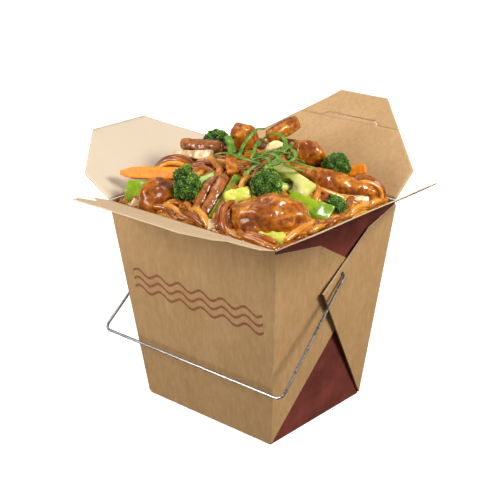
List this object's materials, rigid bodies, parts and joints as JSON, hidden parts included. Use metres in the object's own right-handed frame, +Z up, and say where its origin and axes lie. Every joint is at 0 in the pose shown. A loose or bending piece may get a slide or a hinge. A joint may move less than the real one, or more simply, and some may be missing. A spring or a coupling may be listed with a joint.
{
  "type": "noodle takeaway box",
  "caption": "Open wire-handled kraft takeaway box with folded gussets and four spread flaps, heaped with noodles, glazed chicken, broccoli and vegetables.",
  "frame": {"origin": "centre of the base, on the surface the box stands on", "axes": "+Z up, -Y out of the plain front face, +X to the right seen from the front"},
  "size_m": [0.1864, 0.1719, 0.14],
  "materials": {
    "kraft": "uncoated brown kraft board",
    "cream_board": "pale board",
    "wire": "drawn steel wire",
    "noodles": "glossy sauced wheat noodles",
    "chicken": "glazed fried chicken",
    "broccoli": "cooked broccoli",
    "pale_stem": "pale green cabbage",
    "capsicum": "green capsicum",
    "carrot": "carrot",
    "onion": "cooked onion",
    "cashew": "cashew nut",
    "mushroom": "cooked mushroom"
  },
  "bodies": {
    "box": {"carton": "kraft", "cashew": "cashew", "broccoli_left": "broccoli", "broccoli_centre": "broccoli", "broccoli_right": "broccoli", "broccoli_small": "broccoli", "broccoli_back": "broccoli", "chicken_front": "chicken", "chicken_left": "chicken", "chicken_top": "chicken", "chicken_right": "chicken", "chicken_long": "chicken", "noodle_loops_right": "noodles", "noodle_loops_left": "noodles", "chicken_strip_back": "chicken", "carrot_left": "carrot", "carrot_right": "carrot", "capsicum_left": "capsicum", "capsicum_right": "capsicum", "cabbage_stem": "pale_stem", "bean_front": "capsicum", "cabbage_yellow": "pale_stem", "pepper_strip": "carrot", "onion_back": "onion", "mushroom_back": "mushroom", "mushroom_top": "mushroom", "mushroom_front_a": "mushroom", "mushroom_front_b": "mushroom", "mushroom_rim": "mushroom", "onion_front": "onion", "onion_right": "onion", "cabbage_front": "pale_stem", "onion_left": "onion", "noodles": "noodles"},
    "rear_flap": {"flap_rear": "kraft"},
    "rear_tab": {"flap_rear_tab": "kraft"},
    "front_flap": {"flap_front": "kraft"},
    "right_flap": {"flap_right": "cream_board"},
    "left_flap": {"flap_left": "cream_board"},
    "bail": {"handle": "wire"}
  },
  "joints": [
    {"name": "rear_flap_crease", "type": "hinge", "parent": "box", "child": "rear_flap", "pos_m": [0, 0.04525, 0.10445], "axis": [1, 0, 0], "range_deg": [-115, 40]},
    {"name": "rear_tab_crease", "type": "hinge", "parent": "rear_flap", "child": "rear_tab", "pos_m": [0, 0.07598, 0.12846], "axis": [1, 0, 0], "range_deg": [-60, 60]},
    {"name": "front_flap_crease", "type": "hinge", "parent": "box", "child": "front_flap", "pos_m": [0, -0.04525, 0.10445], "axis": [-1, 0, 0], "range_deg": [-95, 45]},
    {"name": "right_flap_crease", "type": "hinge", "parent": "box", "child": "right_flap", "pos_m": [0.05325, 0, 0.10445], "axis": [0, -1, 0], "range_deg": [-95, 45]},
    {"name": "left_flap_crease", "type": "hinge", "parent": "box", "child": "left_flap", "pos_m": [-0.05325, 0, 0.10445], "axis": [0, 1, 0], "range_deg": [-93, 22]},
    {"name": "bail_pivot", "type": "hinge", "parent": "box", "child": "bail", "pos_m": [0, 0.0028, 0.0791], "axis": [-1, 0, 0], "range_deg": [-9, 52]}
  ]
}
